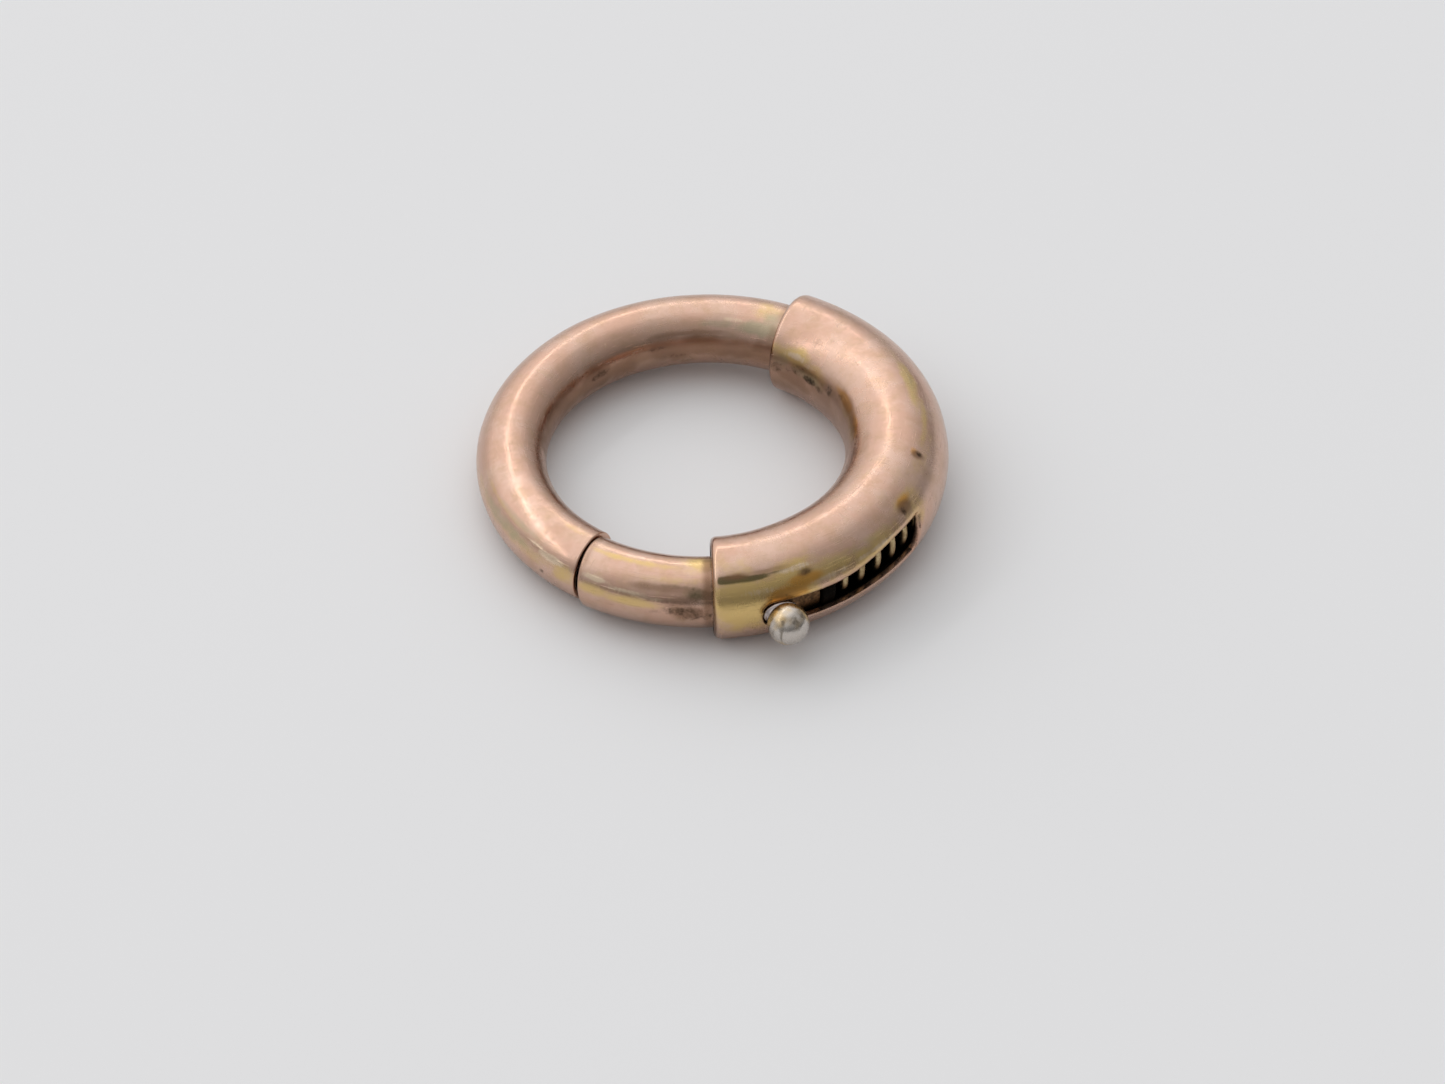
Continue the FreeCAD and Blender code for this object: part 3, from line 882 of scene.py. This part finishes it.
def coil_metal():
    """Drawn wire in its own colour higher up, with painted black shade lower down."""
    n = Nodes("drawn_spring_wire")
    spot = n.place_in_mm()
    split = n.new("ShaderNodeSeparateXYZ")
    n.link(spot, split.inputs[0])
    fine = n.noise(spot, 4.0, 5.0, 0.65)
    unevenness = n.maths("MULTIPLY", n.maths("ADD", fine, -0.5), 0.7)
    height = n.maths("ADD", split.outputs["Z"], unevenness)
    wire_tone = n.mix(n.ramp(fine, 0.35, 0.65), WIRE_BRIGHT, WIRE_DULL)
    # painted shade: the wire turns black below a wavy height
    n.link(n.mix(n.ramp(height, -0.60, -0.05), GRIME_AND_SHADE_BLACK, wire_tone), n.shader.inputs["Base Color"])
    n.link(n.ramp(fine, 0.3, 0.7, 0.28, 0.44), n.shader.inputs["Roughness"])
    n.shader.inputs["Metallic"].default_value = 1.0
    n.link(n.bumps((fine, 0.004)), n.shader.inputs["Normal"])
    return n.material


def streaked_metal():
    """The ball: pale metal showing through worn gold, with darker upright streaks."""
    n = Nodes("pale_gold_ball")
    spot = n.place_in_mm()
    streak = n.noise(spot, 1.0, 2.0, 0.5, (2.6, 2.6, 0.35), (1.3, 0.4, 0))
    cloud = n.noise(spot, 0.9, 2.0, 0.5, shift=(4, 2, 9))
    fine = n.noise(spot, 6.0, 5.0, 0.65, shift=(3, 1, 6))
    colour = n.mix(n.ramp(cloud, 0.45, 0.68), BALL_PALE, BALL_GOLD)
    colour = n.mix(n.ramp(streak, 0.50, 0.66, 0.0, 0.8), colour, BALL_DARK)
    n.link(colour, n.shader.inputs["Base Color"])
    n.link(n.ramp(fine, 0.3, 0.7, 0.20, 0.32), n.shader.inputs["Roughness"])
    n.shader.inputs["Metallic"].default_value = 1.0
    n.link(n.bumps((streak, 0.008), (fine, 0.003)), n.shader.inputs["Normal"])
    return n.material


# ---------------------------------------------------------------- where the pieces are worn, and where shade, reflections and highlights are painted

# Each patch is (phi, alpha, half length in degrees of phi, half height in degrees of alpha, strength).
BARREL_GOLD = (
    (277, 22, 11, 56, 1.25),
    (289, 34, 13, 36, 1.1),
    (301, 36, 16, 20, 0.8),
    (314, 31, 18, 18, 0.85),
    (330, 30, 9, 22, 0.75),
    (330, 50, 9, 12, 0.7),
    (345, 55, 14, 12, 0.4),
    (374, 66, 16, 10, 0.95),
    (358, 58, 16, 7, 0.8),
    (412, 150, 12, 16, 1.05),
    (400, 156, 12, 14, 0.75),
    (368, 150, 20, 12, 0.6),
)
# the patches on the inner side, from alpha 121 up, are painted shade
BARREL_BROWN_AND_SHADE = (
    (277, 54, 7, 7, 0.9),
    (285, 55, 9, 6, 0.7),
    (289, 24, 6, 12, 0.55),
    (294.5, 43, 3, 7, 0.75),
    (318, 60, 30, 14, 0.32),
    (350, 60, 18, 14, 0.30),
    (328, 44, 4, 12, 1.0),
    (345, 61, 2.4, 13, 1.2),
    (348, 124, 30, 14, 0.42),
    (408, 121, 12, 10, 0.40),
    (370, 146, 22, 14, 0.85),
    (410, 178, 18, 22, 0.95),
    (395, 172, 20, 18, 0.8),
    (270, 170, 30, 50, 0.45),
)
BARREL_GRIME = (
    (288.5, 22, 4, 8, 0.35),
    (295, 42, 1.6, 4, 0.55),
    (345.3, 58, 1.3, 9, 0.95),
    (343.6, 66, 1.0, 6, 0.5),
    (326.9, 40, 1.4, 9, 0.9),
    (409, 164, 5.0, 8, 0.6),
    (401, 166, 6.0, 7, 0.95),
    (395, 168, 4.0, 6, 0.6),
    (389, 157, 3.0, 9, 0.85),
    (381, 150, 3.0, 5, 0.6),
    (418, 172, 4.0, 12, 0.7),
    (413, 168, 2.0, 6, 0.6),
)
BARREL_TARNISH = (
    (416, 160, 6, 12, 0.8),
    (402, 163, 12, 9, 0.8),
    (376, 68, 16, 9, 0.35),
    (310, 42, 22, 8, 0.3),
)
BARREL_AMBER = (
    (289.0, 24, 6.0, 14, 1.5),
    (294, 35, 7, 9, 1.2),
    (285.8, 12, 3, 14, 1.2),
    (329, 50, 4, 8, 0.95),
    (345.5, 66, 2.2, 8, 0.9),
    (376, 146, 12, 7, 1.2),
    (362, 143, 14, 7, 0.9),
)
# pale patches, partly wear and partly painted highlight
BARREL_WEAR_AND_HIGHLIGHT = (
    (411, 149, 8, 6, 0.95),
    (403, 152, 5, 5, 0.6),
    (292, 50, 9, 4, 0.75),
    (284, 33, 7, 5, 0.45),
    (316, 30.5, 14, 3.5, 0.7),
    (301, 29, 7, 4, 0.7),
)
BARREL_OLIVE_AND_REFLECTION = (
    # the first three, along alpha 50 near the mouth, are a painted dark reflection line
    (275.0, 51, 9, 7, 1.6),
    (281.0, 50, 8, 5, 1.4),
    (287.0, 51, 7, 2.5, 0.9),
    (294.7, 43, 1.8, 5, 0.9),
    (405, 158, 10, 6, 0.7),
    (390, 160, 10, 5, 0.55),
)
BOW_GOLD = (
    (68.5, 95, 7, 30, 0.65),
    (232, 15, 5, 20, 0.9),
    (216, 16, 18, 16, 0.55),
    (195, 15, 24, 16, 0.5),
    (150, 30, 40, 18, 0.3),
    (206, 42, 20, 6, 0.4),
    (228, 95, 10, 14, 0.4),
)
BOW_TARNISH = (
    (71, 132, 10, 18, 1.25),
    (84, 130, 12, 10, 0.7),
    (66, 115, 5, 30, 0.9),
    (213, 45, 14, 9, 0.6),
    (208, 22, 20, 14, 0.75),
)
BOW_HIGHLIGHT_AND_WEAR = (
    # the first two are a painted highlight
    (227, 30, 5.5, 8, 1.05),
    (221, 36, 5, 5, 0.8),
    (79, 122, 7, 6, 0.6),
)
BOW_BROWN_AND_SHADE = (
    # the first five, on the inner side, are painted shade and a painted darker reflection
    (90, 172, 60, 36, 1.0),
    (135, 178, 50, 36, 1.0),
    (170, 172, 40, 32, 0.9),
    (200, 178, 25, 30, 0.6),
    (95, 145, 26, 9, 0.7),
    (64, 150, 4, 60, 0.6),
    (64, 80, 2.5, 80, 0.5),
)
BOW_GRIME = (
    (225, -3, 1.4, 7, 0.85),
    (131, 172, 7, 9, 0.7),
    (108, 165, 8, 7, 0.55),
    (100, 185, 10, 8, 0.5),
    (63.2, 120, 1.4, 90, 0.5),
)
BOLT_GOLD = (
    (249, 85, 18, 9, 0.75),
    (252, 16, 10, 12, 0.8),
    (241, 20, 6, 14, 0.75),
    (268, 98, 6, 28, 0.85),
    (262, 60, 14, 8, 0.35),
)
BOLT_BROWN_AND_SHADE = (
    (258, 46, 14, 10, 0.65),
    (263, 24, 9, 18, 0.65),
    # painted shade on the nose's face
    (236.5, 60, 1.5, 100, 0.5),
    (266, 8, 9, 22, 0.9),
    # painted shade where the bolt goes into the barrel
    (270.4, 40, 2.6, 150, 1.0),
)
BOLT_GRIME_AND_SHADE = (
    (263, 10, 10.0, 14, 0.70),
    (268, 2, 6.0, 16, 0.62),
    (258, 4, 6.0, 9, 0.4),
    (268, 26, 4.0, 9, 0.4),
    (267, 45, 3.0, 14, 0.35),
    # painted shade just inside the barrel's mouth
    (271.8, 30, 1.2, 170, 0.6),
)
BOLT_OLIVE = ((268, 40, 5, 16, 0.85), (262, 50, 8, 6, 0.55))
# a painted highlight band, continuing the bow's
BOLT_PAINTED_HIGHLIGHT = (
    (242, 38, 6, 7, 0.95),
    (249, 32, 8, 5, 0.85),
    (257, 27, 6, 4, 0.55),
)


# noise that pushes the patches' edges about
BARREL_RAGGED = ((1.0, 0.8, 41.0), (0.5, 2.2, 43.0))
BOW_RAGGED = ((1.0, 0.8, 51.0), (0.5, 2.2, 53.0))
BOLT_RAGGED = ((1.0, 0.9, 61.0), (0.5, 2.4, 63.0))

# where a patch begins to fade, where it is gone, how much the noise moves that, and where it is cut off
PATCH_CORE = 0.2
PATCH_EDGE = 1.15
PATCH_PUSH = 0.3
PATCH_LIMIT = 1.3


def patches(spots, phi, alpha, ragged):
    """The strongest of a list of soft patches at a place. ragged pushes their edges about."""
    level = 0.0
    for centre, height, half_phi, half_alpha, strength in spots:
        across = turn_between(phi, centre) / half_phi
        around = turn_between(alpha, height) / half_alpha
        reach = math.hypot(across, around)
        if reach < PATCH_LIMIT:
            fade = smooth(PATCH_CORE, PATCH_EDGE, reach + PATCH_PUSH * ragged)
            level = max(level, strength * (1 - fade))
    return level


def lower_side(alpha):
    """0 on the upper outer side of a tube, rising to 1 below it, and a half on the inner side."""
    signed = turn_between(alpha, 0)
    return smooth(8, -60, signed) if abs(signed) < 110 else 0.5


def inner_side(alpha):
    """0 except on the side of a tube that faces the eye, where it is 1."""
    return smooth(128, 168, abs(turn_between(alpha, 0)))


def depth_in_wall(radius, point):
    """How far a point lies inside the outer skin of a tube of that radius, in millimetres."""
    return radius - math.hypot(math.hypot(point.x, point.y) - RING_PATH, point.z)


# the depths between which a wall turns from bare metal to the painted black shade of its bore
BORE_FROM = 0.27
BORE_TO = 0.30


def paint_barrel(phi, alpha, point):
    """The barrel's masks: patches, painted shade below and inside and on the slot's cut face, and painted
    black shade in the bore and on the slot's far wall.
    """
    ragged = waves(point, BARREL_RAGGED)
    rim = 1 - smooth(0.0, 3.0, min(phi - BARREL_MOUTH, BARREL_HEEL - phi))
    wall_depth = depth_in_wall(BARREL_RADIUS, point)
    # painted shade: black in the bore and on the slot's far wall, darker on the slot's cut face
    bore = smooth(BORE_FROM, BORE_TO, wall_depth)
    cut = hill(wall_depth, 0.18, 0.12)
    end_wall = smooth(0.14, 0.20, wall_depth) if abs(phi - SLOT_BACK) < 1.5 else 0.0
    shade = max(0.5 * lower_side(alpha), 0.7 * inner_side(alpha))
    return {
        "gold": patches(BARREL_GOLD, phi, alpha, ragged),
        "brown": max(patches(BARREL_BROWN_AND_SHADE, phi, alpha, ragged), shade, cut),
        "grime": max(patches(BARREL_GRIME, phi, alpha, 0.5 * ragged), 1.2 * bore, end_wall),
        "polish": 0.8 * rim,
        "tarnish": patches(BARREL_TARNISH, phi, alpha, ragged),
        "amber": patches(BARREL_AMBER, phi, alpha, 0.8 * ragged),
        "worn": patches(BARREL_WEAR_AND_HIGHLIGHT, phi, alpha, ragged),
        "olive": smooth(0.7, 1.8, phi - BARREL_MOUTH) * patches(BARREL_OLIVE_AND_REFLECTION, phi, alpha, 0.6 * ragged),
    }


def paint_bow(phi, alpha, point):
    """The bow's masks: patches, painted shade below and inside, painted black shade in the bore and a
    polished shoulder.
    """
    ragged = waves(point, BOW_RAGGED)
    # painted black shade in the bore
    bore = smooth(BORE_FROM, BORE_TO, depth_in_wall(BOW_RADIUS, point))
    shade = 0.55 * max(lower_side(alpha), inner_side(alpha))
    return {
        "gold": patches(BOW_GOLD, phi, alpha, ragged),
        "brown": max(patches(BOW_BROWN_AND_SHADE, phi, alpha, ragged), shade),
        "grime": max(patches(BOW_GRIME, phi, alpha, 0.5 * ragged), 1.2 * bore),
        "polish": 0.6 * hill(phi, 210, 45) * hill(turn_between(alpha, 0), 60, 60),
        "tarnish": patches(BOW_TARNISH, phi, alpha, ragged),
        "amber": 0.0,
        "olive": 0.0,
        "worn": patches(BOW_HIGHLIGHT_AND_WEAR, phi, alpha, ragged),
    }


def paint_bolt(phi, alpha, point):
    """The bolt's masks: patches, and painted shade on the front face and on the end that stays in the barrel.
    """
    ragged = waves(point, BOLT_RAGGED)
    # painted shade on the nose's front face and on the end inside the barrel; that end is also tinted gold
    # and amber as part of the shade
    face = 1 - smooth(BOLT_FRONT, BOLT_FRONT + 1.2, phi)
    hidden = smooth(BARREL_MOUTH, BARREL_MOUTH + 4, phi)
    shade = max(0.6 * face, 0.4 * lower_side(alpha), 1.1 * hidden)
    return {
        "gold": max(patches(BOLT_GOLD, phi, alpha, 0.6 * ragged), 0.5 * hidden),
        "brown": max(patches(BOLT_BROWN_AND_SHADE, phi, alpha, ragged), shade),
        "grime": max(patches(BOLT_GRIME_AND_SHADE, phi, alpha, 0.7 * ragged), 0.78 * hidden),
        "polish": 0.5,
        "tarnish": 0.0,
        "amber": 0.8 * hidden,
        "olive": patches(BOLT_OLIVE, phi, alpha, ragged),
        "worn": patches(BOLT_PAINTED_HIGHLIGHT, phi, alpha, ragged),
    }


# ---------------------------------------------------------------- make everything

rose_barrel = worn_gold("rose_gold_barrel", 0.0, 1.0)
rose_bow = worn_gold("rose_gold_bow", -0.04, 4.0)
rose_bolt = worn_gold("rose_gold_bolt", 0.06, 9.0)
# the bolt's tail gets painted black shade
tail_shade_gold = plain_metal("tail_shade_rose_gold", TAIL_SHADE_BLACK, TAIL_SHADE_DEEPER, 0.60, 0.75, 1.0)
bush_gold = plain_metal("dull_rose_gold", BUSH, BUSH_DARK, 0.34, 0.50, 0.8)
spring_metal = coil_metal()
ball_metal = streaked_metal()
stem_metal = plain_metal("pale_gold_stem", STEM_PALE, STEM_DARK, 0.24, 0.36, 0.4, 0.004)

place(make_barrel(paint_barrel), "ring", "barrel_gold", rose_barrel, "barrel")
place(make_bow(paint_bow), "ring", "bow_gold", rose_bow, "bow_tube")
place(make_bolt(paint_bolt), "bolt", "bolt_gold", rose_bolt, "bolt_tube", "bolt_nose")
place(make_ball(), "bolt", "knob_metal", ball_metal, "knob_ball")
place(make_stem(), "bolt", "stem_metal", stem_metal, "knob_stem")

coil = make_spring()
coil.data.materials.append(spring_metal)
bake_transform(coil)
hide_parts("spring")

# the CAD pieces that are kept as they are, with a metal of their own
HIDDEN_METALS = {
    "mouth_bush": bush_gold,
    "heel_bush": bush_gold,
    "bow_stop": bush_gold,
    # painted black shade
    "bolt_tail": tail_shade_gold,
}
for node, metal in HIDDEN_METALS.items():
    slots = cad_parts[node].data.materials
    slots.clear()
    slots.append(metal)

# ---------------------------------------------------------------- floor, light and camera

# the floor and the light are in metres, the camera in multiples of the ring's path
FLOOR_HALF = 0.6
FLOOR_GREY = (0.86, 0.86, 0.87, 1)
FLOOR_ROUGHNESS = 0.9


def make_floor():
    """A pale floor. It tilts slightly, because the ring rests on its wide and its narrow side together."""
    tilt = math.asin((BARREL_RADIUS - BOW_RADIUS) / (2 * RING_PATH))
    mesh = bpy.data.meshes.new("floor")
    half = FLOOR_HALF
    corners = [(-half, -half, 0), (half, -half, 0), (half, half, 0), (-half, half, 0)]
    mesh.from_pydata(corners, [], [(0, 1, 2, 3)])
    floor = link_object("floor", mesh)
    middle = -(BARREL_RADIUS + BOW_RADIUS) / 2 * MM / math.cos(tilt)
    floor.matrix_world = Matrix.Translation((0, 0, middle)) @ Matrix.Rotation(tilt, 4, "Y")
    n = Nodes("pale_floor")
    n.shader.inputs["Base Color"].default_value = FLOOR_GREY
    n.shader.inputs["Roughness"].default_value = FLOOR_ROUGHNESS
    mesh.materials.append(n.material)


STRIP_LOW_END = Vector((-0.15, -0.125, 0.045))
STRIP_HIGH_END = Vector((-0.15, 0.40, 0.41))
STRIP_WIDTH = 0.016
STRIP_WATTS = 0.090


def make_strip_light():
    """A long soft box on the left, from low in front to high behind."""
    middle = (STRIP_LOW_END + STRIP_HIGH_END) / 2
    back = middle.normalized()
    along = STRIP_HIGH_END - STRIP_LOW_END
    up = (along - back * along.dot(back)).normalized()
    light = bpy.data.lights.new("left_strip", "AREA")
    light.shape = "RECTANGLE"
    light.size = STRIP_WIDTH
    light.size_y = along.length
    light.energy = STRIP_WATTS
    lamp = link_object("left_strip", light)
    turn = Matrix((up.cross(back), up, back)).transposed().to_4x4()
    lamp.matrix_world = Matrix.Translation(middle) @ turn


# the sky is brightest towards here
KEY_DIRECTION = (-0.45, 0.55, 0.70)

# (place, grey): place 0 is where a direction's dot product with the key direction is DOME_FROM, place 1 where
# it is 1
DOME_FROM = -0.5
DOME_STOPS = ((0.0, 0.18), (0.27, 0.30), (0.58, 0.45), (0.71, 0.61), (0.80, 0.80), (0.92, 0.92))

# strength at the horizon, and from the height DOME_RISE of a unit direction upwards
DOME_RISE = 0.45
DOME_LOW, DOME_HIGH = 0.95, 1.35


def make_world():
    """A soft pale dome, brightest behind the ring on the left and dimmer at the horizon and in front."""
    world = bpy.data.worlds.new("studio")
    bpy.context.scene.world = world
    world.use_nodes = True
    tree = world.node_tree
    tree.nodes.clear()
    output = tree.nodes.new("ShaderNodeOutputWorld")
    back = tree.nodes.new("ShaderNodeBackground")
    source = tree.nodes.new("ShaderNodeTexCoord")
    toward = tree.nodes.new("ShaderNodeVectorMath")
    toward.operation = "DOT_PRODUCT"
    toward.inputs[1].default_value = KEY_DIRECTION
    tree.links.new(source.outputs["Generated"], toward.inputs[0])
    share = tree.nodes.new("ShaderNodeMapRange")
    share.inputs["From Min"].default_value = DOME_FROM
    share.inputs["From Max"].default_value = 1.0
    tree.links.new(toward.outputs["Value"], share.inputs["Value"])
    ramp = tree.nodes.new("ShaderNodeValToRGB")
    tree.links.new(share.outputs["Result"], ramp.inputs["Fac"])
    ends = (DOME_STOPS[0], DOME_STOPS[-1])
    for element, (position, grey) in zip(ramp.color_ramp.elements, ends):
        element.position = position
        element.color = (grey, grey, grey, 1)
    for position, grey in DOME_STOPS[1:-1]:
        ramp.color_ramp.elements.new(position).color = (grey, grey, grey, 1)
    split = tree.nodes.new("ShaderNodeSeparateXYZ")
    tree.links.new(source.outputs["Generated"], split.inputs[0])
    rise = tree.nodes.new("ShaderNodeMapRange")
    rise.inputs["From Min"].default_value = 0.0
    rise.inputs["From Max"].default_value = DOME_RISE
    rise.inputs["To Min"].default_value = DOME_LOW
    rise.inputs["To Max"].default_value = DOME_HIGH
    tree.links.new(split.outputs["Z"], rise.inputs["Value"])
    tree.links.new(ramp.outputs["Color"], back.inputs["Color"])
    tree.links.new(rise.outputs["Result"], back.inputs["Strength"])
    tree.links.new(back.outputs[0], output.inputs["Surface"])


make_floor()
make_world()
make_strip_light()

CAMERA_ELEVATION = math.radians(43.2024)
CAMERA_ROLL = math.radians(-1.4309)
CAMERA_DISTANCE = 28.17 * RING_PATH
CAMERA_LENS = 135.27
SENSOR_WIDTH = 36.0
RING_OFFSET_RIGHT = -0.0953 * RING_PATH
RING_OFFSET_UP = 0.4516 * RING_PATH


def make_camera():
    """The photograph's view: azimuth 0, looking down, with the ring a little left of and above centre."""
    back = Vector((0, -math.cos(CAMERA_ELEVATION), math.sin(CAMERA_ELEVATION)))
    level_right = Vector((1, 0, 0))
    level_up = back.cross(level_right)
    right = level_right * math.cos(CAMERA_ROLL) + level_up * math.sin(CAMERA_ROLL)
    up = level_up * math.cos(CAMERA_ROLL) - level_right * math.sin(CAMERA_ROLL)
    place_at = (back * CAMERA_DISTANCE - right * RING_OFFSET_RIGHT - up * RING_OFFSET_UP) * MM
    data = bpy.data.cameras.new("camera")
    data.sensor_width = SENSOR_WIDTH
    data.lens = CAMERA_LENS
    data.clip_start = 0.01
    data.clip_end = 10
    camera = link_object("camera", data)
    rotation = Matrix((right, up, back)).transposed().to_4x4()
    camera.matrix_world = Matrix.Translation(place_at) @ rotation
    bpy.context.scene.camera = camera


make_camera()
bpy.context.scene.view_settings.view_transform = "Standard"
